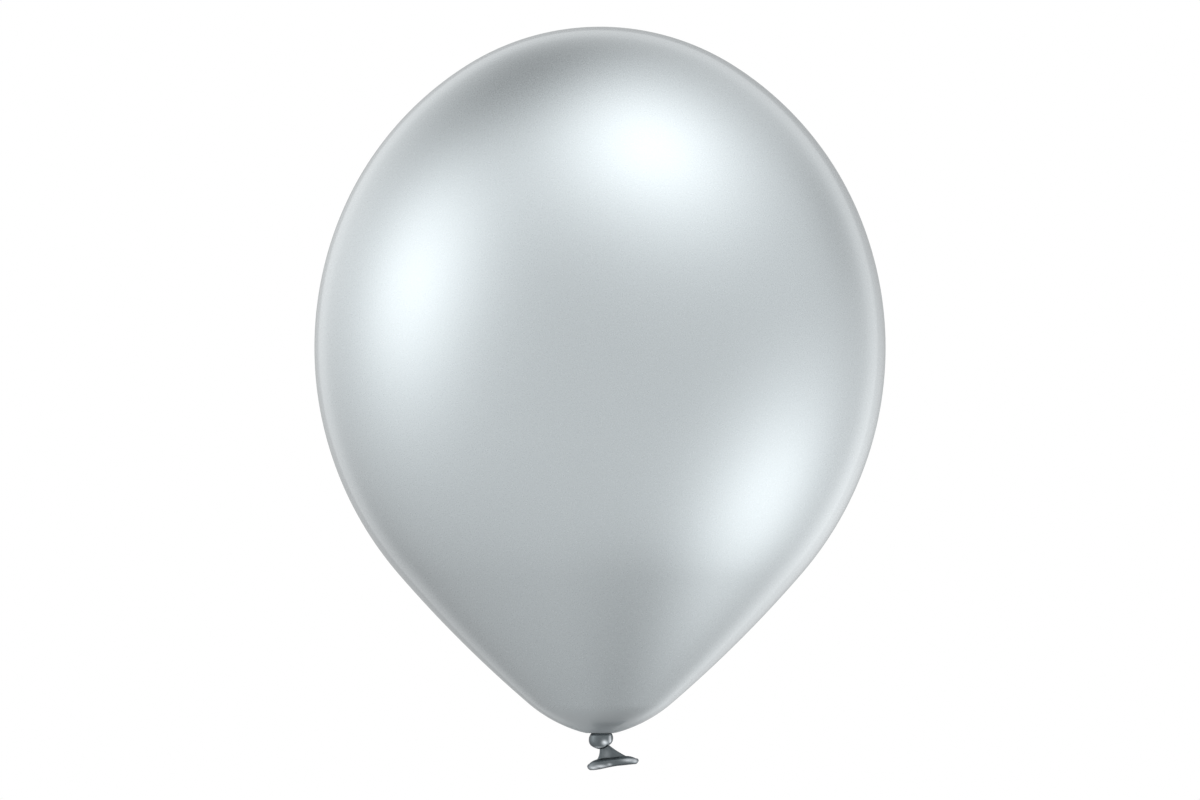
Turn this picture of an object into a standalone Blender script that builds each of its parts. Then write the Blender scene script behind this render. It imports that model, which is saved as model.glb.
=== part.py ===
"""Inflated latex party balloon, tied with its own neck.

Modelled in metres, +Z up, on the balloon's own axis.  The origin is the
neck, where the gathered latex leaves the bulb.  +X is to the right and the
viewer looks along +Y.
"""
import bpy
import bmesh
from math import atan2, cos, hypot, pi, radians, sin, sqrt
from mathutils import Vector

MM = 0.001

# Bulb: six tangent arcs from the crown down to the neck
CROWN_Z = 352.1 * MM
ARC_RADII = (124.8 * MM, 161.4 * MM, 173.4 * MM, 621.0 * MM, 72.0 * MM, 25.0 * MM)
ARC_SWEEPS = (radians(32.3), radians(35.0), radians(63.6), radians(8.4), radians(23.5), radians(17.2))
ARC_STEPS = (6, 6, 11, 3, 5, 3)
WALL = 0.40 * MM
BULB_SEGMENTS = 60

# Pocket and throat in which the knot is seated
POCKET_RADIUS = 7.15 * MM
POCKET_EDGE = 0.55 * MM
THROAT_RADIUS = 2.6 * MM
THROAT_TOP = 4.2 * MM
THROAT_FOOT = radians(25)
GAP = 0.30 * MM

# Gathers of the neck, which run on into the tail
PLEATS = 8
PLEAT = 0.08
PLEAT_TWIST = 250.0
NECK_SEGMENTS = 48
NECK_RISE = 0.8 * MM
NECK_FOOT = 1.3 * MM
NECK_FLARE = 2.2 * MM

# Knot: the neck's strand wound once round its core, fullest in front
KNOT_LEVEL = -3.9 * MM
CORE_RADIUS = 1.6 * MM
CORE_DRIFT = 2.3 * MM
CORE_REACH = 9.0 * MM
SEAT = 0.05 * MM
STRAND_HALF = 2.15 * MM
FULLNESS = 0.55 * MM
FULL_ANGLE, FULL_WIDTH = radians(-95), radians(90)
TURN_START = radians(150)
TURN_SWEEP = radians(-380)
TURN_STEPS = 60
TURN_LEVEL = 0.6
TURN_DROP = (1.6 * MM, 8.0 * MM)
TURN_COUNT = 20
FRONT_HALF = 5.0 * MM
FRONT_ANGLE, FRONT_WIDTH = radians(-95), radians(100)
SIDE_HALF = 3.1 * MM
BACK_HALF = 2.1 * MM
TUCK_SHARE = 0.16
TUCK_TAPER = 0.94
TUCK_THICK = 0.4
CREASE = 0.26
CREASE_ANGLE, CREASE_WIDTH = radians(-38), radians(23)

# Tail: flattened funnel leaning to the right below the knot
TAIL_LEFT = ((-0.2, -5.9), (-0.6, -9.6), (0.6, -13.9), (-4.1, -15.9))
TAIL_RIGHT = ((2.6, -5.6), (4.4, -7.6), (11.6, -12.5), (17.1, -13.0))
TAIL_DEPTH = (1.5 * MM, 1.6 * MM)
LEFT_DROOP, RIGHT_DROOP = 1.45 * MM, 1.7 * MM
TAIL_WALL = 0.45 * MM
TAIL_HOLLOW = 0.45
TAIL_SEGMENTS = 48

# Rolled lip round the mouth of the tail, fuller in front and in its two lobes
BEAD_RADIUS = 0.8 * MM
FRONT_EXTRA = 0.67 * MM
LEFT_LOBE, RIGHT_LOBE = 1.4 * MM, 1.1 * MM
LEFT_ANGLE, LEFT_WIDTH = radians(225), radians(60)
RIGHT_ANGLE, RIGHT_WIDTH = radians(300), radians(84)
MOUTH_LEAN = radians(15)
BACK_LEAN = 0.2
LIP_STEPS = 64
LIP_COUNT = 14


def clear_scene():
    """Removes whatever the start-up file holds."""
    for old in list(bpy.data.objects):
        bpy.data.objects.remove(old, do_unlink=True)


def rubber(name, colour, roughness):
    """Returns one material for a sub-part."""
    mat = bpy.data.materials.new(name)
    mat.use_nodes = True
    shader = mat.node_tree.nodes["Principled BSDF"]
    shader.inputs["Base Color"].default_value = (*colour, 1.0)
    shader.inputs["Roughness"].default_value = roughness
    shader.inputs["Metallic"].default_value = 0.8
    return mat


def add_object(name, bm, mat):
    """Turns a bmesh into a named, smooth-shaded object with outward faces."""
    bmesh.ops.remove_doubles(bm, verts=bm.verts, dist=1e-7)
    bmesh.ops.recalc_face_normals(bm, faces=bm.faces)
    mesh = bpy.data.meshes.new(name)
    bm.to_mesh(mesh)
    bm.free()
    mesh.materials.append(mat)
    mesh.shade_smooth()
    mesh.set_sharp_from_angle(angle=radians(50))
    obj = bpy.data.objects.new(name, mesh)
    bpy.context.scene.collection.objects.link(obj)
    return obj


def bezier(points, t):
    """Point of a cubic curve with four control points."""
    a, b, c, d = (Vector(p) for p in points)
    s = 1.0 - t
    return a * s**3 + b * 3 * s * s * t + c * 3 * s * t * t + d * t**3


def loft(bm, rings, cap_first=True, cap_last=True, closed=False):
    """Skins equal rings of points and caps the two ends."""
    loops = [[bm.verts.new(p) for p in ring] for ring in rings]
    pairs = list(zip(loops, loops[1:]))
    if closed:
        pairs.append((loops[-1], loops[0]))
    for low, high in pairs:
        for i in range(len(low)):
            j = (i + 1) % len(low)
            bm.faces.new((low[i], low[j], high[j], high[i]))
    if cap_first and not closed:
        fan(bm, loops[0])
    if cap_last and not closed:
        fan(bm, loops[-1])


def fan(bm, loop):
    """Closes a ring with a centre vertex."""
    centre = sum((v.co for v in loop), Vector()) / len(loop)
    hub = bm.verts.new(centre)
    for i, v in enumerate(loop):
        bm.faces.new((v, loop[(i + 1) % len(loop)], hub))


def arc(cr, cz, radius, start, end, steps, sign=1.0):
    """(r, z, normal) along a circle; sign -1 turns the normal to its centre."""
    pts = []
    for k in range(steps + 1):
        a = start + (end - start) * k / steps
        pts.append((cr + radius * sin(a), cz + radius * cos(a), (sign * sin(a), sign * cos(a))))
    return pts


def bulb_arcs():
    """Centre, radius and first and last heading of each tangent arc."""
    r, z, heading = 0.0, CROWN_Z, 0.0
    arcs = []
    for radius, sweep in zip(ARC_RADII, ARC_SWEEPS):
        cr, cz = r - radius * sin(heading), z - radius * cos(heading)
        arcs.append([cr, cz, radius, heading, heading + sweep])
        heading += sweep
        r, z = cr + radius * sin(heading), cz + radius * cos(heading)
    return arcs


def edge_centre(cr, cz, radius):
    """Centre of the small circle inside the last arc and outside the pocket."""
    far, near = radius - POCKET_EDGE, POCKET_RADIUS + POCKET_EDGE
    dx, dz = cr, cz - KNOT_LEVEL
    gap = hypot(dx, dz)
    along = (near**2 - far**2 + gap**2) / (2 * gap)
    off = sqrt(near**2 - along**2)
    ux, uz = dx / gap, dz / gap
    return ux * along + uz * off, KNOT_LEVEL + uz * along - ux * off


def skin_profile():
    """(r, z, normal) of the outer skin: bulb, rolled edge, pocket, throat."""
    arcs = bulb_arcs()
    last = arcs[-1]
    er, ez = edge_centre(*last[:3])
    last[4] = atan2(er - last[0], ez - last[1])
    skin = []
    for (cr, cz, radius, start, end), steps in zip(arcs, ARC_STEPS):
        skin += arc(cr, cz, radius, start, end, steps)[1 if skin else 0:]
    inward = atan2(er, ez - KNOT_LEVEL)
    skin += arc(er, ez, POCKET_EDGE, last[4], inward + pi, 5)[1:]
    skin += arc(0.0, KNOT_LEVEL, POCKET_RADIUS, inward, THROAT_FOOT, 5, -1.0)[1:]
    top = skin[-1][1]
    for share in (0.35, 0.65, 1.0):
        skin.append((THROAT_RADIUS, top + (THROAT_TOP - top) * share, (-1.0, 0.0)))
    return skin


def envelope():
    """Thin latex skin of the bulb, with its knot pocket and open throat."""
    skin = skin_profile()
    outer = [Vector((r, 0.0, z)) for r, z, _ in skin]
    inner = [Vector((max(r - WALL * n[0], 0.0), 0.0, z - WALL * n[1])) for r, z, n in skin]
    bm = bmesh.new()
    line = [bm.verts.new(p) for p in outer + inner[::-1]]
    edges = [bm.edges.new(pair) for pair in zip(line, line[1:])]
    bmesh.ops.spin(bm, geom=line + edges, axis=(0, 0, 1), cent=(0, 0, 0),
                   angle=2 * pi, steps=BULB_SEGMENTS)
    bmesh.ops.remove_doubles(bm, verts=bm.verts, dist=1e-6)
    return add_object("envelope", bm, rubber("silver_skin", (0.62, 0.65, 0.66), 0.3))


def core_path(z):
    """Centre line of the strand from the throat down through the knot."""
    t = min(max(-z / CORE_REACH, 0.0), 1.0)
    return Vector((CORE_DRIFT * t * t, 0.0, z))


def neck():
    """Gathered strand that closes the throat and enters the knot."""
    top, bottom, steps = THROAT_TOP + NECK_RISE, KNOT_LEVEL - NECK_FOOT, 12
    rings = []
    for k in range(steps + 1):
        z = top + (bottom - top) * k / steps
        share = min(1.0, max(0.0, z / NECK_FLARE))
        radius = CORE_RADIUS + (THROAT_RADIUS - GAP - CORE_RADIUS) * share
        ring = []
        for i in range(NECK_SEGMENTS):
            a = 2 * pi * i / NECK_SEGMENTS
            pleat = 1.0 - PLEAT * (1.0 + cos(PLEATS * a + z * PLEAT_TWIST))
            ring.append(core_path(z) + Vector((cos(a), sin(a), 0)) * radius * pleat)
        rings.append(ring)
    bm = bmesh.new()
    loft(bm, rings)
    return add_object("neck", bm, rubber("gathered_neck", (0.3, 0.32, 0.33), 0.3))


def strand_rings(path, sides_out, halves, count, closed=False):
    """Oval rings along a path, each with its inner, outer and sideways reach."""
    rings = []
    n = len(path)
    for i, p in enumerate(path):
        ahead = path[(i + 1) % n] if closed or i < n - 1 else p
        behind = path[i - 1] if closed or i > 0 else p
        along = (ahead - behind).normalized()
        side = sides_out[i]
        side = (side - along * side.dot(along)).normalized()
        other = along.cross(side)
        inner, outer, broad = halves[i]
        ring = []
        for k in range(count):
            c, s = cos(2 * pi * k / count), sin(2 * pi * k / count)
            ring.append(p + side * c * (outer if c > 0 else inner) + other * s * broad)
        rings.append(ring)
    return rings


def bump(a, centre, width):
    """Smooth rise to 1 round one angle."""
    away = abs((a - centre + pi) % (2 * pi) - pi) / width
    return cos(away * pi / 2) ** 2 if away < 1 else 0.0


def turn_section(u):
    """Angle, height, half thickness and half breadth of the knot's turn."""
    a = TURN_START + TURN_SWEEP * u
    v = u - TURN_LEVEL
    z = KNOT_LEVEL - TURN_DROP[0] * v - TURN_DROP[1] * v**3
    broad = SIDE_HALF + (FRONT_HALF - SIDE_HALF) * bump(a, FRONT_ANGLE, FRONT_WIDTH)
    broad += (BACK_HALF - SIDE_HALF) * max(0.0, sin(a))
    end = max(0.0, 1.0 - min(u, 1 - u) / TUCK_SHARE)
    taper = sqrt(1.0 - TUCK_TAPER * end * end)
    thick = STRAND_HALF * (TUCK_THICK + (1 - TUCK_THICK) * taper)
    thick *= 1 - CREASE * bump(a, CREASE_ANGLE, CREASE_WIDTH)
    return a, z, thick, broad * taper


def knot_turn():
    """Turn of the neck's strand round the core, its ends tucked in behind."""
    path, out, halves = [], [], []
    for k in range(TURN_STEPS + 1):
        a, z, thick, broad = turn_section(k / TURN_STEPS)
        radial = Vector((cos(a), sin(a), 0))
        path.append(core_path(z) + radial * (CORE_RADIUS + GAP + SEAT + thick))
        out.append(radial)
        halves.append((thick, thick + FULLNESS * bump(a, FULL_ANGLE, FULL_WIDTH), broad))
    bm = bmesh.new()
    loft(bm, strand_rings(path, out, halves, TURN_COUNT))
    return add_object("knot_turn", bm, rubber("knot_latex", (0.27, 0.3, 0.31), 0.22))


def tail_frame(v):
    """Centre, half width, half depth and slope of the tail at v from 0 to 1."""
    left = bezier([(x * MM, z * MM) for x, z in TAIL_LEFT], v)
    right = bezier([(x * MM, z * MM) for x, z in TAIL_RIGHT], v)
    across = right - left
    depth = TAIL_DEPTH[0] + (TAIL_DEPTH[1] - TAIL_DEPTH[0]) * v
    return (left + right) / 2, across.length / 2, depth, across.normalized()


def leaned(centre, across, half, x, y, v=1.0):
    """Point of a section: x along its width, y in depth; its front leans and its ends droop."""
    lean = MOUTH_LEAN * v * v
    lower = y * sin(lean) * (1.0 if y < 0 else BACK_LEAN)
    lower -= (LEFT_DROOP if x < 0 else RIGHT_DROOP) * min(1.0, abs(x) / half) ** 4 * v**4
    return Vector((centre.x + across.x * x, y * cos(lean), centre.y + across.y * x + lower))


def tail_ring(v, inset=0.0):
    """One flattened section of the tail, pleated where it leaves the knot."""
    centre, half, depth, across = tail_frame(v)
    ring = []
    for i in range(TAIL_SEGMENTS):
        a = 2 * pi * i / TAIL_SEGMENTS
        pleat = 1.0 - PLEAT * (1.0 - v) ** 1.5 * (1.0 + cos(PLEATS * a))
        x, y = (half * pleat - inset) * cos(a), (depth * pleat - inset) * sin(a)
        ring.append(leaned(centre, across, half, x, y, v))
    return ring


def tail():
    """Flattened, hollow, flared end of the neck."""
    outer = [tail_ring(k / 13) for k in range(14)]
    inner = [tail_ring(TAIL_HOLLOW + (1 - TAIL_HOLLOW) * k / 8, TAIL_WALL) for k in range(8, -1, -1)]
    bm = bmesh.new()
    loft(bm, outer + inner)
    return add_object("tail", bm, rubber("tail_latex", (0.27, 0.3, 0.31), 0.25))


def lip_section(half, depth, i):
    """Offset across and in depth of the bead's middle, and its radius, at one step."""
    t = 2 * pi * i / LIP_STEPS
    a = atan2(sqrt(depth / half) * sin(t), cos(t))
    bead = BEAD_RADIUS + FRONT_EXTRA * max(0.0, -sin(a))
    bead += LEFT_LOBE * bump(a, LEFT_ANGLE, LEFT_WIDTH)
    bead += RIGHT_LOBE * bump(a, RIGHT_ANGLE, RIGHT_WIDTH)
    nx, ny = cos(a) / half, sin(a) / depth
    reach = (GAP + bead) / hypot(nx, ny)
    return half * cos(a) + nx * reach, depth * sin(a) + ny * reach, bead


def rolled_lip():
    """Rolled bead outside the mouth of the tail, fuller in its two lobes."""
    centre, half, depth, across = tail_frame(1.0)
    up = Vector((-across.y, 0, across.x))
    path, halves = [], []
    for i in range(LIP_STEPS):
        x, y, bead = lip_section(half, depth, i)
        path.append(leaned(centre, across, half, x, y))
        halves.append((bead, bead, bead))
    bm = bmesh.new()
    rings = strand_rings(path, [up] * LIP_STEPS, halves, LIP_COUNT, closed=True)
    loft(bm, rings, closed=True)
    return add_object("rolled_lip", bm, rubber("lip_latex", (0.25, 0.28, 0.29), 0.22))


def main():
    clear_scene()
    envelope()
    neck()
    knot_turn()
    tail()
    rolled_lip()


main()
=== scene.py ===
from math import atan2, cos, exp, hypot, log, pi, radians, sin, sqrt

import bmesh
import bpy
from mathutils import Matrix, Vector, noise


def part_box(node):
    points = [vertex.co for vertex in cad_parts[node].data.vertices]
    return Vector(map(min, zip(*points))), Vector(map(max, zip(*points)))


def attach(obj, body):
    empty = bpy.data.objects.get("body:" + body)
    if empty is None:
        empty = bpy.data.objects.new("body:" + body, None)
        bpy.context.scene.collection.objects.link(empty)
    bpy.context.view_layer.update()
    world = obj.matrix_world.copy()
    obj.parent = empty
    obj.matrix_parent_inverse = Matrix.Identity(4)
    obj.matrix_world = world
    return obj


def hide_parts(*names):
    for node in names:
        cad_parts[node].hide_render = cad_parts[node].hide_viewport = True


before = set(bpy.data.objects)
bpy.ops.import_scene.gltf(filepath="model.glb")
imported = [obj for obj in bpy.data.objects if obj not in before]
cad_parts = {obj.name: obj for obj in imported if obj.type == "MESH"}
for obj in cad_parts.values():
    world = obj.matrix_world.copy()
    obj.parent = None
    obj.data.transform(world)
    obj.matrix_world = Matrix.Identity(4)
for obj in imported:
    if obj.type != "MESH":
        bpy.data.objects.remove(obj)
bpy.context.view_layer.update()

bl_info = {
    "name": "Silver latex balloon",
    "version": (1, 0, 0),
    "blender": (4, 5, 0),
    "location": "3D View > Sidebar > Balloon",
    "description": "Builds an inflated silver latex balloon tied with its own neck",
    "category": "Object",
}

MM = 0.001
BODY = "root"

# Gap that touching pieces keep, and pleats of the gathered neck
GAP = 0.30 * MM
PLEATS = 8

# Bulb: six tangent arcs from the crown down to the edge of the knot's pocket, as in the
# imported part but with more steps, and where the pocket meets the throat
ARC_RADII = (124.8 * MM, 161.4 * MM, 173.4 * MM, 621.0 * MM, 72.0 * MM, 25.0 * MM)
ARC_SWEEPS = (radians(32.3), radians(35.0), radians(63.6),
              radians(8.4), radians(23.5), radians(17.2))
ARC_STEPS = (28, 28, 48, 16, 28, 16)
EDGE_STEPS, POCKET_STEPS, THROAT_STEPS = 14, 14, 4
THROAT_FOOT = radians(25)

# Puckers: where they end upwards and outwards, how far they wander and by which noise, and
# their even share and its swells round the neck
PUCKER_TOP, PUCKER_END = 12 * MM, 60 * MM
PUCKER_WANDER, PUCKER_NOISE, PUCKER_SEED = 4.0, 3.1, 0.4
PUCKER_EVEN, PUCKER_SWELLS = 0.6, 3

# Neck: how far it reaches above the throat and below the knot's middle, where it has its
# full width, and the twist of its pleats in radians to a metre
NECK_RISE, NECK_FOOT, NECK_FLARE = 0.8 * MM, 1.3 * MM, 2.2 * MM
PLEAT_TWIST = 250.0
NECK_STEPS, NECK_POINTS = 40, 120

# Knot: its middle, the core's drift to the right over its reach downwards, the turn's seat
# beyond the gap, the share of the turn at which it lies level with the middle, and its fall
# along the turn, in proportion and by the cube
KNOT_LEVEL = -3.9 * MM
CORE_DRIFT, CORE_REACH = 2.3 * MM, 9.0 * MM
SEAT = 0.05 * MM
TURN_LEVEL = 0.6
TURN_DROP = (1.6 * MM, 8.0 * MM)
TURN_STEPS, TURN_POINTS = 260, 96

# Where the turn is fullest, broadest and creased, and how its ends taper into the knot
FULL_ANGLE, FULL_WIDTH = radians(-95), radians(90)
FRONT_ANGLE, FRONT_WIDTH = radians(-95), radians(100)
CREASE_ANGLE, CREASE_WIDTH = radians(-38), radians(23)
TUCK_SHARE, TUCK_TAPER, TUCK_THICK = 0.16, 0.94, 0.4

# Fine lines along the turn and gathers at its two ends, as shares of its thickness
LINE_DEPTH, LINE_NOISE, LINE_STRETCH, LINE_SEED = 0.03, 3.4, 2.2, 7.0
END_DEPTH, END_GATHERS = 0.02, 9

# Tail: control points of its left and right edge, right and up in millimetres. Against the
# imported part, the corners of its mouth lie 0.5 mm further out, and its root reaches 0.7 mm
# further to the right. Its hollow and its curl begin at shares of its length, and fine folds
# run down it.
TAIL_LEFT = ((-0.2, -5.9), (-0.6, -9.6), (0.6, -13.9), (-4.6, -15.9))
TAIL_RIGHT = ((3.3, -5.6), (4.9, -7.6), (11.6, -12.5), (17.6, -13.0))
TAIL_STEPS, HOLLOW_STEPS, TAIL_POINTS = 72, 36, 160
TAIL_HOLLOW = 0.45
CURL_START = 0.72
FOLD_DEPTH, FOLD_COUNT, FOLD_DRIFT = 0.02, 23, 5.0

# How much of the mouth's lean its back takes, and how far its two ends droop
BACK_LEAN = 0.2
LEFT_DROOP, RIGHT_DROOP = 1.45 * MM, 1.7 * MM

# Lip: how far it laps the tail without its curl, its two lobes, and the step of its roll
LIP_SEAT = 0.30 * MM
LEFT_ANGLE, LEFT_WIDTH = radians(225), radians(60)
RIGHT_ANGLE, RIGHT_WIDTH = radians(300), radians(84)
LIP_STEPS, LIP_POINTS = 300, 64
ROLL_ANGLE, ROLL_WANDER, ROLL_NOISE, ROLL_SEED = radians(250), 0.5, 2.0, 3.0
ROLL_RISE, ROLL_CREST = 1.15, 0.87

# Finish of the skin: how metallic, its gloss far from the neck and near it, its roughness
# across the grain, and how much duller it is near the neck
SKIN_METAL, SKIN_COAT, FOOT_COAT = 0.92, 0.8, 0.12
SKIN_ROUGHNESS, FOOT_DULL = (0.27, 0.33), 0.45

# Where the skin is less stretched: distance from the axis, height above the neck, and the
# share that is so at any height
THICK_REACH, THICK_HEIGHT = (4 * MM, 34 * MM), (2 * MM, 22 * MM)
THICK_ANYWHERE = 0.35

# How strongly thickness, cloud and grain change the skin's colour, and the grain's shade
THICK_TONE, CLOUD_TONE, GRAIN_TONE, GRAIN_SHADE = 0.55, 0.10, 0.22, 0.86

# Finish of the slack latex: how metallic, its gloss, the spread of its roughness, its share
# of fold colour, the tint of its reflections, and its brighter flakes
SLACK_METAL, SLACK_COAT, SLACK_SPREAD, SLACK_FOLDS = 0.88, 0.45, 0.06, 0.35
SLACK_TINT = (0.35, 0.36, 0.38, 1.0)
FLAKE_TONE, FLAKE_LIGHT = 0.25, 1.25

# Scales of the grain and the cloud, and depth and strength of the surface's relief
SKIN_GRAIN, SKIN_CLOUD, SKIN_RELIEF = 1300.0, 14.0, (0.02 * MM, 0.35)
SLACK_GRAIN, SLACK_CLOUD, SLACK_RELIEF = 2200.0, 160.0, (0.04 * MM, 0.25)

# Studio lamps and dark flags: azimuth from straight behind to the right, height, and the
# angle from their aim at which they fade to a half, all in degrees, then strength in the
# same measure as the room's own light
LAMPS = (
    ("overhead", 130, 70, 28, 1.40),
    ("left", -96, 17, 25, 1.20),
    ("right low", 88, -36, 23, 1.10),
    ("right low tail", 60, -45, 12, 0.20),
    ("left behind", -40, 15, 15, 0.20),
    ("right behind", 25, -15, 12, 0.50),
    ("flag behind", 10, 10, 15, -0.20),
    ("flag high behind", -30, 62, 25, -0.60),
    ("flag low behind", -5, -50, 40, -0.50),
    ("flag low right", 35, -55, 14, -0.30),
    ("flag right", 50, 20, 12, -0.25),
    ("flag left low", -30, -25, 12, -0.20),
    ("flag below", 100, -75, 15, -0.25),
)

# Painted highlights and reflections, as lighter base colour on the slack latex: centre and reach
# in millimetres, strength
KNOT_PAINTED_HIGHLIGHTS = (
    ((2.2, -6.2, -5.5), (1.2, 2.5, 1.1), 1.0),
    ((-0.6, -5.0, -8.1), (2.4, 3.0, 0.35), 0.8),
    ((4.9, -3.0, -4.0), (0.55, 3.0, 2.6), 1.0),
)
TAIL_PAINTED_HIGHLIGHTS = (
    ((3.2, -2.0, -12.0), (1.6, 1.5, 2.6), 0.16),
)
LIP_PAINTED_HIGHLIGHTS = (
    ((-3.4, -5.0, -18.4), (2.1, 3.0, 0.75), 0.9),
    ((0.4, -5.0, -17.5), (2.8, 3.0, 0.75), 0.9),
    ((4.7, -5.0, -16.6), (1.1, 3.0, 0.65), 0.6),
    ((14.0, -4.0, -14.5), (3.0, 3.0, 0.7), 0.85),
    ((17.6, -3.0, -14.8), (1.4, 3.0, 0.7), 0.6),
)

# Light hoop round a dark disc behind, from which the rim takes its bright line and dark edge:
# azimuth and height of its middle, and where it fades, in degrees from its middle
HOOP_AIM = (4, -4)
HOOP_OUTSIDE = (44, 33)
HOOP_INSIDE = (27, 23)
HOOP_LIGHT = 0.20
DISC_SHADE = -0.13

# Room: its own light at the horizon, the change from there to the ceiling, the least that it
# may be with the flags, and its tint
ROOM_LIGHT = 0.92
ROOM_SLOPE = -0.10
ROOM_LEAST = 0.02
ROOM_TINT = (0.97, 0.99, 1.0, 1.0)

# Floor in metres; the camera's sensor in millimetres and its far limit in metres
FLOOR_RADIUS, FLOOR_CORNERS = 14.0, 128
SENSOR_WIDTH, CLIP_END = 36.0, 50.0


class BalloonBulb(bpy.types.PropertyGroup):
    """Sizes of the inflated bulb and of the pocket for its knot."""
    crown: bpy.props.FloatProperty(
        name="Crown", description="Height of the crown above the neck",
        default=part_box("envelope")[1][2], unit="LENGTH")
    throat: bpy.props.FloatProperty(
        name="Throat", description="Radius of the throat above the knot",
        default=2.6 * MM, unit="LENGTH")
    throat_top: bpy.props.FloatProperty(
        name="Throat top", description="Height of the throat's inner end",
        default=4.2 * MM, unit="LENGTH")
    pocket: bpy.props.FloatProperty(
        name="Pocket", description="Radius of the pocket round the knot",
        default=7.15 * MM, unit="LENGTH")
    edge: bpy.props.FloatProperty(
        name="Pocket edge", description="Radius of the pocket's rolled edge",
        default=0.55 * MM, unit="LENGTH")
    segments: bpy.props.IntProperty(
        name="Segments", description="Faces round the bulb", default=320, min=24)
    puckers: bpy.props.IntProperty(
        name="Puckers", description="Fine gathers that run into the knot", default=26, min=3)
    pucker_depth: bpy.props.FloatProperty(
        name="Pucker depth", description="Depth of the gathers at the pocket's edge",
        default=0.10 * MM, unit="LENGTH")
    pucker_reach: bpy.props.FloatProperty(
        name="Pucker reach", description="Distance from the pocket where a third is left",
        default=9.0 * MM, unit="LENGTH")


class BalloonKnot(bpy.types.PropertyGroup):
    """Sizes of the gathered neck and of its turn in the knot."""
    core: bpy.props.FloatProperty(
        name="Core", description="Radius of the strand inside the knot",
        default=1.6 * MM, unit="LENGTH")
    pleat: bpy.props.FloatProperty(
        name="Pleat", description="Half depth of the gathers as a share of the radius",
        default=0.08, min=0.0, max=0.3, subtype="FACTOR")
    strand: bpy.props.FloatProperty(
        name="Strand", description="Half thickness of the turn",
        default=2.15 * MM, unit="LENGTH")
    fullness: bpy.props.FloatProperty(
        name="Fullness", description="How much further the turn swells in front",
        default=0.55 * MM, unit="LENGTH")
    start: bpy.props.FloatProperty(
        name="Start", description="Angle at which the turn begins",
        default=radians(150), unit="ROTATION")
    sweep: bpy.props.FloatProperty(
        name="Sweep", description="Angle through which the turn runs",
        default=radians(-380), unit="ROTATION")
    front: bpy.props.FloatProperty(
        name="Front", description="Half height of the turn in front",
        default=5.0 * MM, unit="LENGTH")
    side: bpy.props.FloatProperty(
        name="Side", description="Half height of the turn at the sides",
        default=3.1 * MM, unit="LENGTH")
    back: bpy.props.FloatProperty(
        name="Back", description="Half height of the turn at the back",
        default=2.1 * MM, unit="LENGTH")
    crease: bpy.props.FloatProperty(
        name="Crease", description="Depth of the crease right of the front, as a share",
        default=0.26, min=0.0, max=0.5, subtype="FACTOR")


class BalloonTail(bpy.types.PropertyGroup):
    """Sizes of the flared tail and its rolled lip."""
    root_depth: bpy.props.FloatProperty(
        name="Root depth", description="Half depth of the tail at the knot",
        default=1.5 * MM, unit="LENGTH")
    mouth_depth: bpy.props.FloatProperty(
        name="Mouth depth", description="Half depth of the tail at its mouth",
        default=1.6 * MM, unit="LENGTH")
    wall: bpy.props.FloatProperty(
        name="Wall", description="Thickness of the tail's skin",
        default=0.45 * MM, unit="LENGTH")
    lean: bpy.props.FloatProperty(
        name="Mouth lean", description="Angle by which the front of the mouth hangs lower",
        default=radians(15), unit="ROTATION")
    bead: bpy.props.FloatProperty(
        name="Bead", description="Radius of the rolled lip at the back",
        default=0.8 * MM, unit="LENGTH")
    front: bpy.props.FloatProperty(
        name="Front", description="Extra radius of the rolled lip in front",
        default=0.67 * MM, unit="LENGTH")
    left_lobe: bpy.props.FloatProperty(
        name="Left lobe", description="Extra radius of the rolled lip in its left lobe",
        default=1.4 * MM, unit="LENGTH")
    right_lobe: bpy.props.FloatProperty(
        name="Right lobe", description="Extra radius of the rolled lip in its right lobe",
        default=1.1 * MM, unit="LENGTH")
    flare: bpy.props.FloatProperty(
        name="Flare", description="How far the skin curls out over the rolled lip",
        default=1.1 * MM, unit="LENGTH")
    seam: bpy.props.FloatProperty(
        name="Roll seam", description="Step where the rolled sheet ends, as a share",
        default=0.10, min=0.0, max=0.4, subtype="FACTOR")


class BalloonFinish(bpy.types.PropertyGroup):
    """Colours of the silver latex, and of its painted highlights."""
    skin: bpy.props.FloatVectorProperty(
        name="Skin", description="Stretched latex of the bulb", subtype="COLOR",
        size=3, default=(0.532, 0.566, 0.580), min=0.0, max=1.0)
    thick: bpy.props.FloatVectorProperty(
        name="Thick skin", description="Less stretched latex near the crown and neck",
        subtype="COLOR", size=3, default=(0.45, 0.48, 0.495), min=0.0, max=1.0)
    slack: bpy.props.FloatVectorProperty(
        name="Slack latex", description="Unstretched latex of the knot and tail",
        subtype="COLOR", size=3, default=(0.115, 0.132, 0.14), min=0.0, max=1.0)
    fold: bpy.props.FloatVectorProperty(
        name="Fold", description="Latex deep in the folds", subtype="COLOR",
        size=3, default=(0.055, 0.064, 0.07), min=0.0, max=1.0)
    # Painted highlight: near-white colour painted where highlights and reflections are seen on the
    # knot, tail and lip
    painted_highlight: bpy.props.FloatVectorProperty(
        name="Painted highlight colour", description="Colour of the painted highlights over the knot and lip",
        subtype="COLOR", size=3, default=(0.80, 0.83, 0.86), min=0.0, max=1.0)


class BalloonStage(bpy.types.PropertyGroup):
    """Camera and floor."""
    lens: bpy.props.FloatProperty(
        name="Lens", description="Focal length in millimetres", default=360.0, min=20.0)
    distance: bpy.props.FloatProperty(
        name="Distance", description="From the camera to the balloon's axis",
        default=6.0, unit="LENGTH")
    height: bpy.props.FloatProperty(
        name="Height", description="Height of the camera above the neck",
        default=0.1655, unit="LENGTH")
    floor_drop: bpy.props.FloatProperty(
        name="Floor", description="How far the floor lies below the neck",
        default=1.0, unit="LENGTH")


def settings(name):
    """The scene's property group of that name."""
    return getattr(bpy.context.scene, name)


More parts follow.
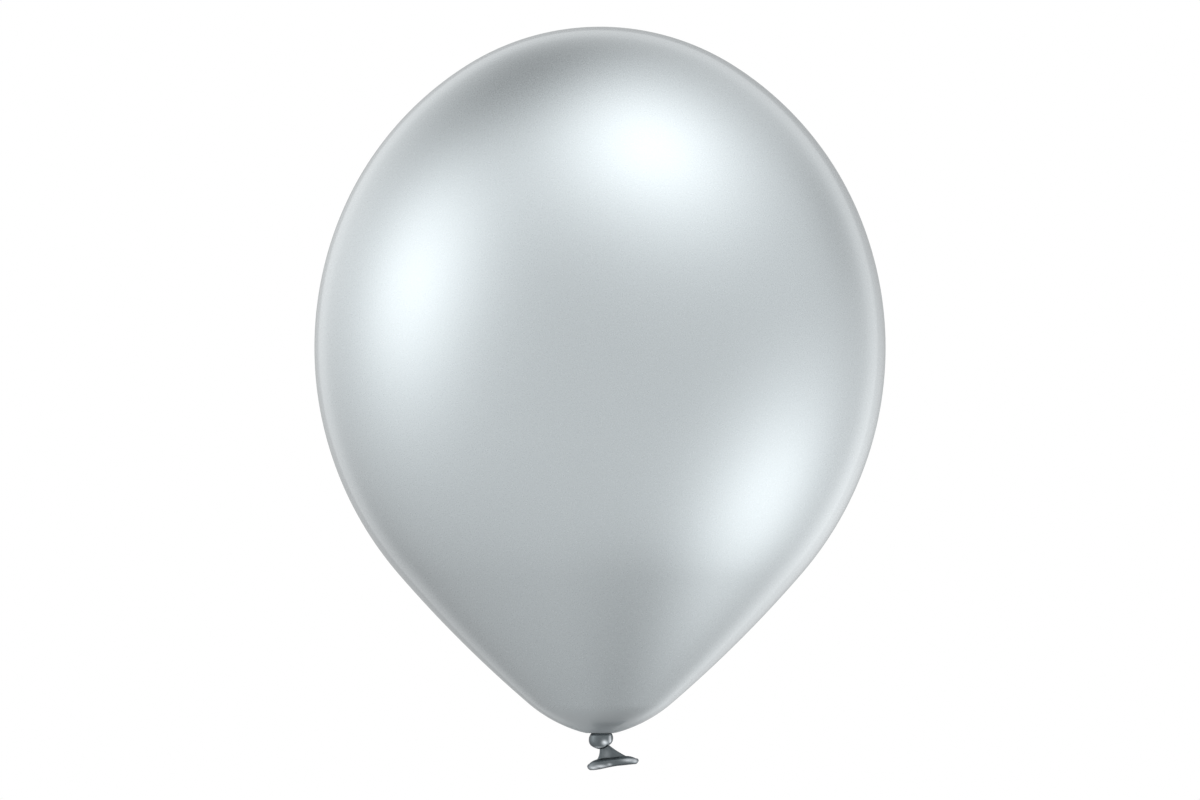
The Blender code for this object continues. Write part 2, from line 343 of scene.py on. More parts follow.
def bump(a, centre, width):
    """Smooth rise to 1 at one angle, from 0 at a width on either side."""
    away = abs((a - centre + pi) % (2 * pi) - pi) / width
    return cos(away * pi / 2) ** 2 if away < 1 else 0.0


def bezier(points, t):
    """Point in metres of a cubic curve whose four control points are in millimetres."""
    a, b, c, d = (Vector(p) * MM for p in points)
    s = 1.0 - t
    return a * s**3 + b * 3 * s * s * t + c * 3 * s * t * t + d * t**3


def grid_object(name, rows, cap_first=False, cap_last=False, closed=False):
    """Smooth object from equal closed rows of points, skinned in order."""
    bm = bmesh.new()
    loops = [[bm.verts.new(p) for p in row] for row in rows]
    pairs = list(zip(loops, loops[1:]))
    if closed:
        pairs.append((loops[-1], loops[0]))
    for low, high in pairs:
        for i in range(len(low)):
            j = (i + 1) % len(low)
            bm.faces.new((low[i], low[j], high[j], high[i]))
    for wanted, loop in ((cap_first, loops[0]), (cap_last, loops[-1])):
        if wanted:
            hub = bm.verts.new(sum((v.co for v in loop), Vector()) / len(loop))
            for i, v in enumerate(loop):
                bm.faces.new((v, loop[(i + 1) % len(loop)], hub))
    bmesh.ops.remove_doubles(bm, verts=bm.verts, dist=1e-7)
    bmesh.ops.recalc_face_normals(bm, faces=bm.faces)
    mesh = bpy.data.meshes.new(name)
    bm.to_mesh(mesh)
    bm.free()
    mesh.shade_smooth()
    obj = bpy.data.objects.new(name, mesh)
    bpy.context.scene.collection.objects.link(obj)
    return obj


def place(obj, material, node):
    """Gives a piece its finish and the body it rides on, and hides the imported part it stands
    for.
    """
    obj.data.materials.append(material)
    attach(obj, BODY)
    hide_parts(node)


# Shader helpers

def new_node(tree, kind, **values):
    """Adds a shader node and sets its properties."""
    node = tree.nodes.new(kind)
    for key, value in values.items():
        setattr(node, key, value)
    return node


def math_node(tree, operation, a, b=None, c=None, clamp=False):
    """Math node; a, b and c are sockets or numbers."""
    node = new_node(tree, "ShaderNodeMath", operation=operation, use_clamp=clamp)
    for socket, value in zip(node.inputs, (a, b, c)):
        if value is None:
            continue
        if isinstance(value, (int, float)):
            socket.default_value = value
        else:
            tree.links.new(value, socket)
    return node.outputs[0]


def ramp(tree, value, low, high, out_low, out_high):
    """Smooth map of a socket from one range to another."""
    node = new_node(tree, "ShaderNodeMapRange", interpolation_type="SMOOTHSTEP", clamp=True)
    limits = {"From Min": low, "From Max": high, "To Min": out_low, "To Max": out_high}
    for key, number in limits.items():
        node.inputs[key].default_value = number
    tree.links.new(value, node.inputs["Value"])
    return node.outputs["Result"]


def mixed(tree, factor, a, b):
    """Mix of two colours; each is a socket or three numbers."""
    node = new_node(tree, "ShaderNodeMix", data_type="RGBA")
    tree.links.new(factor, node.inputs["Factor"])
    for socket, value in ((node.inputs["A"], a), (node.inputs["B"], b)):
        if isinstance(value, bpy.types.NodeSocket):
            tree.links.new(value, socket)
        else:
            socket.default_value = (*value, 1.0)
    return node.outputs["Result"]


def add_sockets(group, way, kind, labels):
    """Gives a node group its inputs or outputs of one kind."""
    for label in labels:
        group.interface.new_socket(label, in_out=way, socket_type="NodeSocket" + kind)


def mask_group(name, vectors, number, default):
    """New node group with vector inputs and one number, that puts out a mask."""
    group = bpy.data.node_groups.new(name, "ShaderNodeTree")
    add_sockets(group, "INPUT", "Vector", vectors)
    socket = group.interface.new_socket(number, in_out="INPUT", socket_type="NodeSocketFloat")
    socket.default_value = default
    add_sockets(group, "OUTPUT", "Float", ("Mask",))
    return group, group.nodes.new("NodeGroupInput"), group.nodes.new("NodeGroupOutput")


def flake_grain():
    """Group: fine metal flake in the latex, as a mask round 0.5."""
    if "Flake grain" in bpy.data.node_groups:
        return bpy.data.node_groups["Flake grain"]
    tree, source, sink = mask_group("Flake grain", ("Position",), "Scale", SKIN_GRAIN)
    fine = new_node(tree, "ShaderNodeTexNoise")
    fine.inputs["Detail"].default_value = 3.0
    fine.inputs["Roughness"].default_value = 0.65
    flakes = new_node(tree, "ShaderNodeTexVoronoi", feature="F1")
    tree.links.new(source.outputs["Position"], fine.inputs["Vector"])
    tree.links.new(source.outputs["Position"], flakes.inputs["Vector"])
    tree.links.new(source.outputs["Scale"], fine.inputs["Scale"])
    finer = math_node(tree, "MULTIPLY", source.outputs["Scale"], 1.7)
    tree.links.new(finer, flakes.inputs["Scale"])
    speck = new_node(tree, "ShaderNodeSeparateColor")
    tree.links.new(flakes.outputs["Color"], speck.inputs["Color"])
    both = math_node(tree, "ADD", fine.outputs["Fac"], speck.outputs["Red"])
    tree.links.new(math_node(tree, "MULTIPLY", both, 0.5), sink.inputs["Mask"])
    return tree


def stretch_cloud():
    """Group: slow drift of the film's thickness, as a mask round 0.5."""
    if "Stretch cloud" in bpy.data.node_groups:
        return bpy.data.node_groups["Stretch cloud"]
    tree, source, sink = mask_group("Stretch cloud", ("Position",), "Scale", SKIN_CLOUD)
    cloud = new_node(tree, "ShaderNodeTexNoise")
    cloud.inputs["Detail"].default_value = 4.0
    cloud.inputs["Roughness"].default_value = 0.5
    tree.links.new(source.outputs["Position"], cloud.inputs["Vector"])
    tree.links.new(source.outputs["Scale"], cloud.inputs["Scale"])
    tree.links.new(cloud.outputs["Fac"], sink.inputs["Mask"])
    return tree


def painted_highlight_group():
    """Group: a soft oval mask for a painted highlight, where the base colour is lightened."""
    if "Painted highlight patch" in bpy.data.node_groups:
        return bpy.data.node_groups["Painted highlight patch"]
    vectors = ("Position", "Centre", "Reach")
    tree, source, sink = mask_group("Painted highlight patch", vectors, "Strength", 1.0)
    offset = new_node(tree, "ShaderNodeVectorMath", operation="SUBTRACT")
    tree.links.new(source.outputs["Position"], offset.inputs[0])
    tree.links.new(source.outputs["Centre"], offset.inputs[1])
    scaled = new_node(tree, "ShaderNodeVectorMath", operation="DIVIDE")
    tree.links.new(offset.outputs["Vector"], scaled.inputs[0])
    tree.links.new(source.outputs["Reach"], scaled.inputs[1])
    square = new_node(tree, "ShaderNodeVectorMath", operation="DOT_PRODUCT")
    for socket in square.inputs[:2]:
        tree.links.new(scaled.outputs["Vector"], socket)
    fade = math_node(tree, "EXPONENT", math_node(tree, "MULTIPLY", square.outputs["Value"], -1.0))
    highlight_mask = math_node(tree, "MULTIPLY", fade, source.outputs["Strength"])
    tree.links.new(highlight_mask, sink.inputs["Mask"])
    return tree


def use_group(tree, group, position, **values):
    """Places a group in a material with its own values and gives its mask."""
    node = new_node(tree, "ShaderNodeGroup", node_tree=group)
    tree.links.new(position, node.inputs["Position"])
    for key, value in values.items():
        node.inputs[key].default_value = value
    return node.outputs["Mask"]


def latex_shader(name, metallic, coat, coat_roughness):
    """New material with its Principled shader and a socket for the place on the object."""
    mat = bpy.data.materials.new(name)
    mat.use_nodes = True
    tree = mat.node_tree
    shader = next(n for n in tree.nodes if n.type == "BSDF_PRINCIPLED")
    shader.inputs["Metallic"].default_value = metallic
    shader.inputs["Coat Weight"].default_value = coat
    shader.inputs["Coat Roughness"].default_value = coat_roughness
    shader.inputs["Coat IOR"].default_value = 1.5
    position = new_node(tree, "ShaderNodeTexCoord").outputs["Object"]
    return mat, tree, shader, position


def add_bump(tree, shader, height, distance, strength):
    """Feeds a height through a Bump node to the shader's normal."""
    node = new_node(tree, "ShaderNodeBump")
    node.inputs["Distance"].default_value = distance
    node.inputs["Strength"].default_value = strength
    tree.links.new(height, node.inputs["Height"])
    tree.links.new(node.outputs["Normal"], shader.inputs["Normal"])


def skin_material():
    """Stretched silver latex: soft metallic sheen under a thin gloss."""
    finish = settings("balloon_finish")
    mat, tree, shader, position = latex_shader("Silver skin", SKIN_METAL, SKIN_COAT, 0.04)
    grain = use_group(tree, flake_grain(), position, Scale=SKIN_GRAIN)
    cloud = use_group(tree, stretch_cloud(), position, Scale=SKIN_CLOUD)
    parts = new_node(tree, "ShaderNodeSeparateXYZ")
    tree.links.new(position, parts.inputs["Vector"])
    square = [math_node(tree, "MULTIPLY", parts.outputs[k], parts.outputs[k]) for k in ("X", "Y")]
    radius = math_node(tree, "SQRT", math_node(tree, "ADD", *square))
    near_axis = ramp(tree, radius, *THICK_REACH, 1.0, 0.0)
    low = ramp(tree, parts.outputs["Z"], *THICK_HEIGHT, 1.0, 0.0)
    least = math_node(tree, "ADD", low, THICK_ANYWHERE)
    thick = math_node(tree, "MULTIPLY", near_axis, least)
    drift = ramp(tree, cloud, 0.3, 0.7, 0.0, CLOUD_TONE)
    tone = math_node(tree, "MULTIPLY", thick, THICK_TONE)
    tone = math_node(tree, "ADD", tone, drift, clamp=True)
    colour = mixed(tree, tone, finish.skin, finish.thick)
    darker = [c * GRAIN_SHADE for c in finish.skin]
    speckled = mixed(tree, ramp(tree, grain, 0.30, 0.70, GRAIN_TONE, 0.0), colour, darker)
    tree.links.new(speckled, shader.inputs["Base Color"])
    dull = math_node(tree, "MULTIPLY", near_axis, low)
    sheen = ramp(tree, grain, 0.25, 0.75, *SKIN_ROUGHNESS)
    sheen = math_node(tree, "MULTIPLY_ADD", dull, FOOT_DULL, sheen)
    tree.links.new(sheen, shader.inputs["Roughness"])
    coat = ramp(tree, dull, 0.0, 1.0, SKIN_COAT, FOOT_COAT)
    tree.links.new(coat, shader.inputs["Coat Weight"])
    add_bump(tree, shader, grain, *SKIN_RELIEF)
    return mat


def slack_material(name, roughness, painted_highlights=()):
    """Slack dark silver latex of the neck, knot, tail or lip, with painted highlights as lighter
    patches.
    """
    finish = settings("balloon_finish")
    mat, tree, shader, position = latex_shader(name, SLACK_METAL, SLACK_COAT, 0.06)
    shader.inputs["Specular Tint"].default_value = SLACK_TINT
    grain = use_group(tree, flake_grain(), position, Scale=SLACK_GRAIN)
    cloud = use_group(tree, stretch_cloud(), position, Scale=SLACK_CLOUD)
    shade = ramp(tree, cloud, 0.35, 0.65, 0.0, SLACK_FOLDS)
    colour = mixed(tree, shade, finish.slack, finish.fold)
    # Painted highlights: patches of near-white colour where highlights and reflections are seen
    for centre, reach, strength in painted_highlights:
        highlight_mask = use_group(tree, painted_highlight_group(), position, Strength=strength,
                         Centre=[c * MM for c in centre], Reach=[c * MM for c in reach])
        colour = mixed(tree, highlight_mask, colour, finish.painted_highlight)
    bright = [min(1.0, c * FLAKE_LIGHT) for c in finish.slack]
    speckled = mixed(tree, ramp(tree, grain, 0.45, 0.85, 0.0, FLAKE_TONE), colour, bright)
    tree.links.new(speckled, shader.inputs["Base Color"])
    sheen = ramp(tree, cloud, 0.3, 0.7, roughness, roughness + SLACK_SPREAD)
    tree.links.new(sheen, shader.inputs["Roughness"])
    wrinkles = math_node(tree, "ADD", math_node(tree, "MULTIPLY", cloud, 4.0), grain)
    add_bump(tree, shader, wrinkles, *SLACK_RELIEF)
    return mat


# Bulb

def arc(cr, cz, radius, start, end, steps, sign=1.0):
    """(r, z, normal) along a circle; sign -1 turns the normal to its centre."""
    points = []
    for k in range(steps + 1):
        a = start + (end - start) * k / steps
        points.append((cr + radius * sin(a), cz + radius * cos(a), (sign * sin(a), sign * cos(a))))
    return points


def bulb_arcs(crown):
    """Centre, radius and first and last heading of each tangent arc."""
    r, z, heading = 0.0, crown, 0.0
    arcs = []
    for radius, sweep in zip(ARC_RADII, ARC_SWEEPS):
        cr, cz = r - radius * sin(heading), z - radius * cos(heading)
        arcs.append([cr, cz, radius, heading, heading + sweep])
        heading += sweep
        r, z = cr + radius * sin(heading), cz + radius * cos(heading)
    return arcs


def edge_centre(size, cr, cz, radius):
    """Centre of the small circle inside the last arc and outside the pocket."""
    far, near = radius - size.edge, size.pocket + size.edge
    dx, dz = cr, cz - KNOT_LEVEL
    span = hypot(dx, dz)
    along = (near**2 - far**2 + span**2) / (2 * span)
    off = sqrt(near**2 - along**2)
    ux, uz = dx / span, dz / span
    return ux * along + uz * off, KNOT_LEVEL + uz * along - ux * off


def skin_profile(size):
    """(r, z, normal) of the outer skin: bulb, rolled edge, pocket, throat."""
    arcs = bulb_arcs(size.crown)
    last = arcs[-1]
    er, ez = edge_centre(size, *last[:3])
    last[4] = atan2(er - last[0], ez - last[1])
    skin = []
    for (cr, cz, radius, start, end), steps in zip(arcs, ARC_STEPS):
        skin += arc(cr, cz, radius, start, end, steps)[1 if skin else 0:]
    inward = atan2(er, ez - KNOT_LEVEL)
    skin += arc(er, ez, size.edge, last[4], inward + pi, EDGE_STEPS)[1:]
    skin += arc(0.0, KNOT_LEVEL, size.pocket, inward, THROAT_FOOT, POCKET_STEPS, -1.0)[1:]
    foot = skin[-1][1]
    for k in range(1, THROAT_STEPS + 1):
        z = foot + (size.throat_top - foot) * k / THROAT_STEPS
        skin.append((size.throat, z, (-1.0, 0.0)))
    return skin


def pucker(size, r, z, a):
    """Depth of the gathers at one place of the skin near the neck."""
    if z > PUCKER_TOP or r > PUCKER_END:
        return 0.0
    fade = exp(-max(0.0, r - size.pocket) / size.pucker_reach)
    spot = Vector((cos(a) * PUCKER_NOISE, sin(a) * PUCKER_NOISE, PUCKER_SEED))
    wander = noise.noise(spot)
    wave = 0.5 + 0.5 * cos(size.puckers * a + PUCKER_WANDER * wander)
    uneven = PUCKER_EVEN + (1.0 - PUCKER_EVEN) * cos(PUCKER_SWELLS * a + 1.0)
    return size.pucker_depth * fade * (1.0 - wave**2) * uneven


def build_bulb():
    """Outer skin of the bulb, from the crown to the end of the throat."""
    size = settings("balloon_bulb")
    rows = []
    for r, z, n in skin_profile(size):
        row = []
        for i in range(size.segments):
            a = 2 * pi * i / size.segments
            sink = pucker(size, r, z, a)
            reach = r - sink * n[0]
            row.append(Vector((reach * cos(a), reach * sin(a), z - sink * n[1])))
        rows.append(row)
    return grid_object("bulb_skin", rows)


# Neck and knot

def core_path(z):
    """Centre line of the strand from the throat down through the knot."""
    t = min(max(-z / CORE_REACH, 0.0), 1.0)
    return Vector((CORE_DRIFT * t * t, 0.0, z))


def build_neck():
    """Gathered strand that closes the throat and enters the knot."""
    size, bulb = settings("balloon_knot"), settings("balloon_bulb")
    top, bottom = bulb.throat_top + NECK_RISE, KNOT_LEVEL - NECK_FOOT
    rows = []
    for k in range(NECK_STEPS + 1):
        z = top + (bottom - top) * k / NECK_STEPS
        share = min(1.0, max(0.0, z / NECK_FLARE))
        radius = size.core + (bulb.throat - GAP - size.core) * share
        row = []
        for i in range(NECK_POINTS):
            a = 2 * pi * i / NECK_POINTS
            pleat = 1.0 - size.pleat * (1.0 + cos(PLEATS * a + z * PLEAT_TWIST))
            row.append(core_path(z) + Vector((cos(a), sin(a), 0)) * radius * pleat)
        rows.append(row)
    return grid_object("neck_gathers", rows, cap_first=True, cap_last=True)


def strand_rows(path, sides, reaches, count, closed=False, relief=None):
    """Oval rows along a path; reaches holds the inner, outer and broad half axis of each.

    relief(i, angle) sinks the surface by a share of its reach.
    """
    rows = []
    n = len(path)
    for i, p in enumerate(path):
        ahead = path[(i + 1) % n] if closed or i < n - 1 else p
        behind = path[i - 1] if closed or i > 0 else p
        along = (ahead - behind).normalized()
        side = sides[i]
        side = (side - along * side.dot(along)).normalized()
        other = along.cross(side)
        inner, outer, broad = reaches[i]
        row = []
        for k in range(count):
            a = 2 * pi * k / count
            shrink = 1.0 - (relief(i, a) if relief else 0.0)
            c, s = cos(a) * shrink, sin(a) * shrink
            row.append(p + side * c * (outer if c > 0 else inner) + other * s * broad)
        rows.append(row)
    return rows


def turn_section(size, u):
    """Angle, height, half thickness, swell and half height of the knot's turn."""
    a = size.start + size.sweep * u
    v = u - TURN_LEVEL
    z = KNOT_LEVEL - TURN_DROP[0] * v - TURN_DROP[1] * v**3
    broad = size.side + (size.front - size.side) * bump(a, FRONT_ANGLE, FRONT_WIDTH)
    broad += (size.back - size.side) * max(0.0, sin(a))
    end = max(0.0, 1.0 - min(u, 1 - u) / TUCK_SHARE)
    taper = sqrt(1.0 - TUCK_TAPER * end * end)
    thick = size.strand * (TUCK_THICK + (1 - TUCK_THICK) * taper)
    thick *= 1 - size.crease * bump(a, CREASE_ANGLE, CREASE_WIDTH)
    return a, z, thick, size.fullness * bump(a, FULL_ANGLE, FULL_WIDTH), broad * taper


def build_knot():
    """Turn of the neck's strand round the core, its ends tucked in behind."""
    size = settings("balloon_knot")
    path, sides, reaches = [], [], []
    for k in range(TURN_STEPS + 1):
        a, z, thick, swell, broad = turn_section(size, k / TURN_STEPS)
        radial = Vector((cos(a), sin(a), 0))
        path.append(core_path(z) + radial * (size.core + GAP + SEAT + thick))
        sides.append(radial)
        reaches.append((thick, thick + swell, broad))

    def folds(i, a):
        """Shallow lines that run along the stretched strand, and gathers at its ends."""
        u = i / TURN_STEPS
        along = u * LINE_STRETCH + LINE_SEED
        lines = noise.noise(Vector((cos(a) * LINE_NOISE, sin(a) * LINE_NOISE, along)))
        end = abs(2 * u - 1) ** 4
        return LINE_DEPTH * abs(lines) + END_DEPTH * end * (1 + cos(END_GATHERS * a))

    rows = strand_rows(path, sides, reaches, TURN_POINTS, relief=folds)
    return grid_object("knot_roll", rows, cap_first=True, cap_last=True)


# Tail and lip

def tail_frame(size, v):
    """Centre, half width, half depth and slope of the tail at v from 0 to 1."""
    left, right = bezier(TAIL_LEFT, v), bezier(TAIL_RIGHT, v)
    across = right - left
    depth = size.root_depth + (size.mouth_depth - size.root_depth) * v
    return (left + right) / 2, across.length / 2, depth, across.normalized()


def leaned(centre, across, half, x, y, lean, v=1.0):
    """Point of a section: x along its width, y in depth; its front leans and its ends droop."""
    lower = y * sin(lean) * (1.0 if y < 0 else BACK_LEAN)
    lower -= (LEFT_DROOP if x < 0 else RIGHT_DROOP) * min(1.0, abs(x) / half) ** 4 * v**4
    return Vector((centre.x + across.x * x, y * cos(lean), centre.y + across.y * x + lower))


def tail_row(v, inset):
    """One flattened section of the tail, pleated at the knot and curling out at the mouth.

    An inset gives the inside of the skin, which doesn't curl.
    """
    size, knot = settings("balloon_tail"), settings("balloon_knot")
    centre, half, depth, across = tail_frame(size, v)
    curl = 0.0
    if inset == 0.0:
        curl = size.flare * max(0.0, (v - CURL_START) / (1 - CURL_START)) ** 2
    row = []
    for i in range(TAIL_POINTS):
        a = 2 * pi * i / TAIL_POINTS
        pleat = 1.0 - knot.pleat * (1.0 - v) ** 1.5 * (1.0 + cos(PLEATS * a))
        fold = FOLD_DEPTH * (1.0 - v) * (1.0 + cos(FOLD_COUNT * a + FOLD_DRIFT * v))
        x = (half * pleat - inset + curl) * cos(a)
        y = (depth * (pleat - fold) - inset + curl) * sin(a)
        row.append(leaned(centre, across, half, x, y, size.lean * v * v, v))
    return row


def build_tail():
    """Flattened, hollow, flared end of the neck."""
    wall = settings("balloon_tail").wall
    outer = [tail_row(k / TAIL_STEPS, 0.0) for k in range(TAIL_STEPS + 1)]
    depths = [TAIL_HOLLOW + (1 - TAIL_HOLLOW) * k / HOLLOW_STEPS
              for k in range(HOLLOW_STEPS, -1, -1)]
    inner = [tail_row(v, wall) for v in depths]
    return grid_object("tail_funnel", outer + inner, cap_first=True, cap_last=True)


def lip_section(size, half, depth, t):
    """Offset of the bead's middle across and in depth, and its radius."""
    a = atan2(sqrt(depth / half) * sin(t), cos(t))
    bead = size.bead + size.front * max(0.0, -sin(a))
    bead += size.left_lobe * bump(a, LEFT_ANGLE, LEFT_WIDTH)
    bead += size.right_lobe * bump(a, RIGHT_ANGLE, RIGHT_WIDTH)
    nx, ny = cos(a) / half, sin(a) / depth
    reach = (bead - LIP_SEAT) / hypot(nx, ny)
    return half * cos(a) + nx * reach, depth * sin(a) + ny * reach, bead


def build_lip():
    """Rolled bead outside the mouth of the tail, fuller in front and in its two lobes."""
    size = settings("balloon_tail")
    centre, half, depth, across = tail_frame(size, 1.0)
    up = Vector((-across.y, 0, across.x))
    path, reaches = [], []
    for i in range(LIP_STEPS):
        x, y, bead = lip_section(size, half, depth, 2 * pi * i / LIP_STEPS)
        path.append(leaned(centre, across, half, x, y, size.lean))
        reaches.append((bead, bead, bead))

    def roll(i, a):
        """The sheet's rolled end, a small step that wanders along the bead."""
        t = 2 * pi * i / LIP_STEPS
        drift = noise.noise(Vector((cos(t) * ROLL_NOISE, sin(t) * ROLL_NOISE, ROLL_SEED)))
        turn = ((a - ROLL_ANGLE + ROLL_WANDER * drift) % (2 * pi)) / (2 * pi)
        if turn < ROLL_CREST:
            return size.seam * min(1.0, turn * ROLL_RISE)
        return size.seam * (1 - turn) / (1 - ROLL_CREST)

    rows = strand_rows(path, [up] * LIP_STEPS, reaches, LIP_POINTS, closed=True, relief=roll)
    return grid_object("lip_roll", rows, closed=True)


# Stage

def soft_lamp_group():
    """Group: glow of one very large soft lamp, full at its aim and fading round it."""
    if "Soft lamp" in bpy.data.node_groups:
        return bpy.data.node_groups["Soft lamp"]
    tree = bpy.data.node_groups.new("Soft lamp", "ShaderNodeTree")
    add_sockets(tree, "INPUT", "Vector", ("Direction", "Aim"))
    add_sockets(tree, "INPUT", "Float", ("Tightness", "Strength"))
    add_sockets(tree, "OUTPUT", "Float", ("Glow",))
    source, sink = tree.nodes.new("NodeGroupInput"), tree.nodes.new("NodeGroupOutput")
    facing = new_node(tree, "ShaderNodeVectorMath", operation="DOT_PRODUCT")
    tree.links.new(source.outputs["Direction"], facing.inputs[0])
    tree.links.new(source.outputs["Aim"], facing.inputs[1])
    away = math_node(tree, "SUBTRACT", facing.outputs["Value"], 1.0)
    depth = math_node(tree, "MULTIPLY", away, source.outputs["Tightness"])
    fade = math_node(tree, "EXPONENT", depth)
    glow = math_node(tree, "MULTIPLY", fade, source.outputs["Strength"])
    tree.links.new(glow, sink.inputs["Glow"])
    return tree


def aim(azimuth, height):
    """Direction of a lamp: degrees from straight behind towards the right, and up."""
    a, h = radians(azimuth), radians(height)
    return sin(a) * cos(h), cos(a) * cos(h), sin(h)


def behind_hoop(tree, direction):
    """Light of the hoop behind, less the shade of the disc inside it."""
    facing = new_node(tree, "ShaderNodeVectorMath", operation="DOT_PRODUCT")
    tree.links.new(direction, facing.inputs[0])
    facing.inputs[1].default_value = aim(*HOOP_AIM)
    outside = [cos(radians(edge)) for edge in HOOP_OUTSIDE]
    inside = [cos(radians(edge)) for edge in HOOP_INSIDE]
    hoop = ramp(tree, facing.outputs["Value"], *outside, 0.0, HOOP_LIGHT)
    disc = ramp(tree, facing.outputs["Value"], *inside, 0.0, DISC_SHADE - HOOP_LIGHT)
    return math_node(tree, "ADD", hoop, disc)


def studio_world():
    """White behind the balloon for the camera; soft lamps and dark flags in its reflections."""
    world = bpy.data.worlds.new("Studio")
    world.use_nodes = True
    tree = world.node_tree
    tree.nodes.clear()
    direction = new_node(tree, "ShaderNodeTexCoord").outputs["Generated"]
    glow = behind_hoop(tree, direction)
    for label, azimuth, height, width, strength in LAMPS:
        lamp = new_node(tree, "ShaderNodeGroup", node_tree=soft_lamp_group(), label=label)
        tree.links.new(direction, lamp.inputs["Direction"])
        lamp.inputs["Aim"].default_value = aim(azimuth, height)
        lamp.inputs["Tightness"].default_value = log(2) / (1 - cos(radians(width)))
        lamp.inputs["Strength"].default_value = strength
        glow = math_node(tree, "ADD", glow, lamp.outputs["Glow"])
    parts = new_node(tree, "ShaderNodeSeparateXYZ")
    tree.links.new(direction, parts.inputs["Vector"])
    slope = math_node(tree, "MULTIPLY", parts.outputs["Z"], ROOM_SLOPE)
    room_light = math_node(tree, "ADD", math_node(tree, "ADD", glow, slope), ROOM_LIGHT)
    room = new_node(tree, "ShaderNodeBackground")
    room.inputs["Color"].default_value = ROOM_TINT
    tree.links.new(math_node(tree, "MAXIMUM", room_light, ROOM_LEAST), room.inputs["Strength"])
    white = new_node(tree, "ShaderNodeBackground")
    white.inputs["Color"].default_value = (1.0, 1.0, 1.0, 1.0)
    white.inputs["Strength"].default_value = 1.0
    seen = new_node(tree, "ShaderNodeLightPath").outputs["Is Camera Ray"]
    both = new_node(tree, "ShaderNodeMixShader")
    tree.links.new(seen, both.inputs["Fac"])
    tree.links.new(room.outputs["Background"], both.inputs[1])
    tree.links.new(white.outputs["Background"], both.inputs[2])
    out = new_node(tree, "ShaderNodeOutputWorld")
    tree.links.new(both.outputs["Shader"], out.inputs["Surface"])
    bpy.context.scene.world = world


def floor_material():
    """Pale matt floor, which can be looked through from underneath."""
    mat = bpy.data.materials.new("Pale floor")
    mat.use_nodes = True
    tree = mat.node_tree
    shader = next(n for n in tree.nodes if n.type == "BSDF_PRINCIPLED")
    shader.inputs["Base Color"].default_value = (0.9, 0.9, 0.9, 1.0)
    shader.inputs["Roughness"].default_value = 0.9
    both = new_node(tree, "ShaderNodeMixShader")
    below = new_node(tree, "ShaderNodeNewGeometry").outputs["Backfacing"]
    clear = new_node(tree, "ShaderNodeBsdfTransparent").outputs["BSDF"]
    tree.links.new(below, both.inputs["Fac"])
    tree.links.new(shader.outputs["BSDF"], both.inputs[1])
    tree.links.new(clear, both.inputs[2])
    out = next(n for n in tree.nodes if n.type == "OUTPUT_MATERIAL")
    tree.links.new(both.outputs["Shader"], out.inputs["Surface"])
    return mat


def build_floor(drop):
    """Plain pale floor, far below the balloon."""
    bm = bmesh.new()
    bmesh.ops.create_circle(bm, cap_ends=True, segments=FLOOR_CORNERS, radius=FLOOR_RADIUS)
    mesh = bpy.data.meshes.new("studio_floor")
    bm.to_mesh(mesh)
    bm.free()
    floor = bpy.data.objects.new("studio_floor", mesh)
    floor.location.z = -drop
    floor.visible_glossy = False
    bpy.context.scene.collection.objects.link(floor)
    mesh.materials.append(floor_material())


def build_camera(stage):
    """Level camera in front of the balloon."""
    data = bpy.data.cameras.new("camera")
    data.lens = stage.lens
    data.sensor_width = SENSOR_WIDTH
    data.clip_end = CLIP_END
    camera = bpy.data.objects.new("camera", data)
    camera.location = (0.0, -stage.distance, stage.height)
    camera.rotation_euler = (radians(90), 0.0, 0.0)
    bpy.context.scene.collection.objects.link(camera)
    bpy.context.scene.camera = camera


def build_stage():
    """Camera, soft lights, room and floor."""
    stage = settings("balloon_stage")
    bpy.context.scene.view_settings.view_transform = "Standard"
    build_camera(stage)
    studio_world()
    build_floor(stage.floor_drop)


# Operators and panel

class BALLOON_OT_bulb(bpy.types.Operator):
    """Build the silver skin of the bulb"""
    bl_idname = "balloon.bulb"
    bl_label = "Bulb"

    def execute(self, context):
        place(build_bulb(), skin_material(), "envelope")
        return {"FINISHED"}


class BALLOON_OT_neck(bpy.types.Operator):
    """Build the gathered neck in the throat"""
    bl_idname = "balloon.neck"
    bl_label = "Neck"

    def execute(self, context):
        finish = slack_material("Gathered latex", roughness=0.26)
        place(build_neck(), finish, "neck")
        return {"FINISHED"}


class BALLOON_OT_knot(bpy.types.Operator):
    """Build the turn of the knot"""
    bl_idname = "balloon.knot"
    bl_label = "Knot"

    def execute(self, context):
        finish = slack_material("Knot latex", roughness=0.20, painted_highlights=KNOT_PAINTED_HIGHLIGHTS)
        place(build_knot(), finish, "knot_turn")
        return {"FINISHED"}


class BALLOON_OT_tail(bpy.types.Operator):
    """Build the flared tail"""
    bl_idname = "balloon.tail"
    bl_label = "Tail"

    def execute(self, context):
        finish = slack_material("Tail latex", roughness=0.28, painted_highlights=TAIL_PAINTED_HIGHLIGHTS)
        place(build_tail(), finish, "tail")
        return {"FINISHED"}


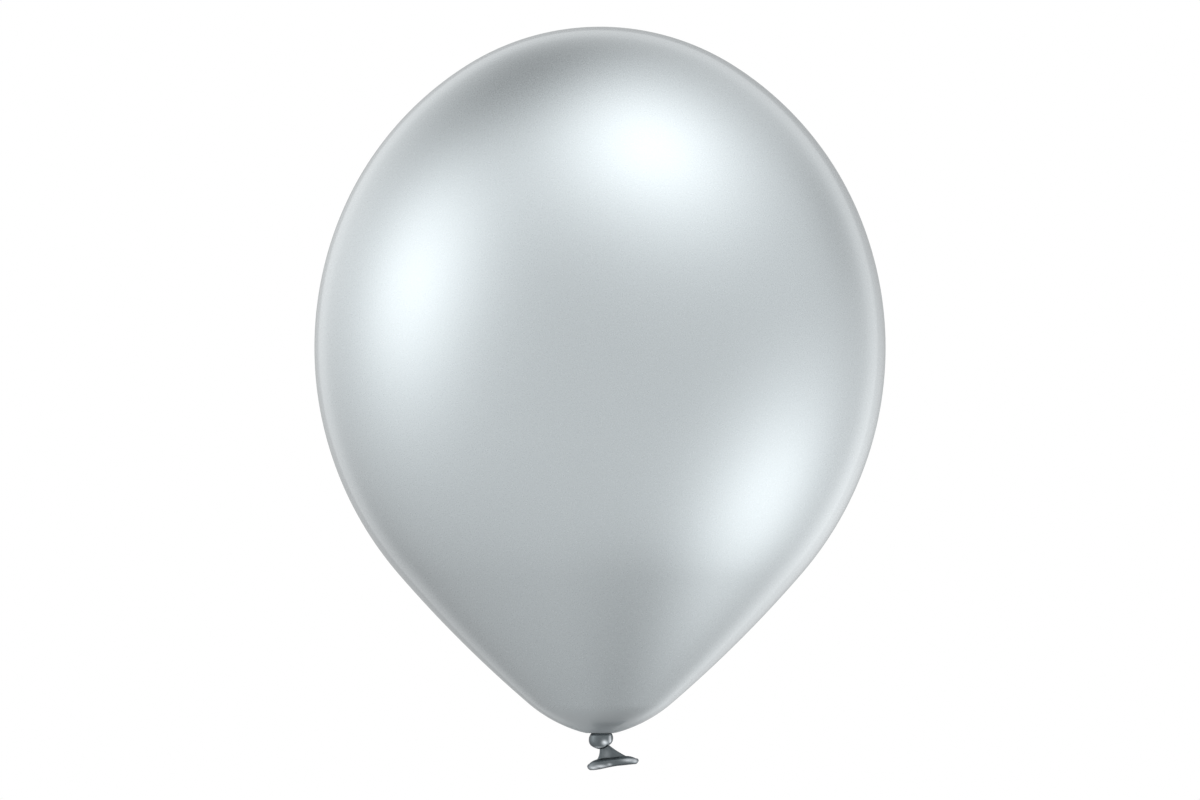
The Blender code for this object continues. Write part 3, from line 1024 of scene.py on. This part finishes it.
class BALLOON_OT_lip(bpy.types.Operator):
    """Build the rolled lip of the tail"""
    bl_idname = "balloon.lip"
    bl_label = "Lip"

    def execute(self, context):
        finish = slack_material("Lip latex", roughness=0.22, painted_highlights=LIP_PAINTED_HIGHLIGHTS)
        place(build_lip(), finish, "rolled_lip")
        return {"FINISHED"}


class BALLOON_OT_stage(bpy.types.Operator):
    """Set up the camera, the lights and the floor"""
    bl_idname = "balloon.stage"
    bl_label = "Stage"

    def execute(self, context):
        build_stage()
        return {"FINISHED"}


OPERATORS = (BALLOON_OT_bulb, BALLOON_OT_neck, BALLOON_OT_knot, BALLOON_OT_tail,
             BALLOON_OT_lip, BALLOON_OT_stage)


class BALLOON_PT_panel(bpy.types.Panel):
    """Lists the balloon's pieces"""
    bl_idname = "BALLOON_PT_panel"
    bl_label = "Balloon"
    bl_space_type = "VIEW_3D"
    bl_region_type = "UI"
    bl_category = "Balloon"

    def draw(self, context):
        for operator in OPERATORS:
            self.layout.operator(operator.bl_idname)
        for name, _ in GROUPS:
            column = self.layout.column(align=True)
            group = getattr(context.scene, name)
            for key in group.__annotations__:
                column.prop(group, key)


GROUPS = (("balloon_bulb", BalloonBulb), ("balloon_knot", BalloonKnot),
          ("balloon_tail", BalloonTail), ("balloon_finish", BalloonFinish),
          ("balloon_stage", BalloonStage))


def register():
    """Registers the classes and gives the scene its settings."""
    for _, group in GROUPS:
        bpy.utils.register_class(group)
    for operator in OPERATORS:
        bpy.utils.register_class(operator)
    bpy.utils.register_class(BALLOON_PT_panel)
    for name, group in GROUPS:
        setattr(bpy.types.Scene, name, bpy.props.PointerProperty(type=group))


def unregister():
    """Takes the settings and classes away again."""
    for name, _ in GROUPS:
        delattr(bpy.types.Scene, name)
    bpy.utils.unregister_class(BALLOON_PT_panel)
    for operator in reversed(OPERATORS):
        bpy.utils.unregister_class(operator)
    for _, group in reversed(GROUPS):
        bpy.utils.unregister_class(group)


def main():
    """Builds every piece and the stage."""
    register()
    bpy.ops.balloon.stage()
    bpy.ops.balloon.bulb()
    bpy.ops.balloon.neck()
    bpy.ops.balloon.knot()
    bpy.ops.balloon.tail()
    bpy.ops.balloon.lip()


if __name__ == "__main__":
    main()
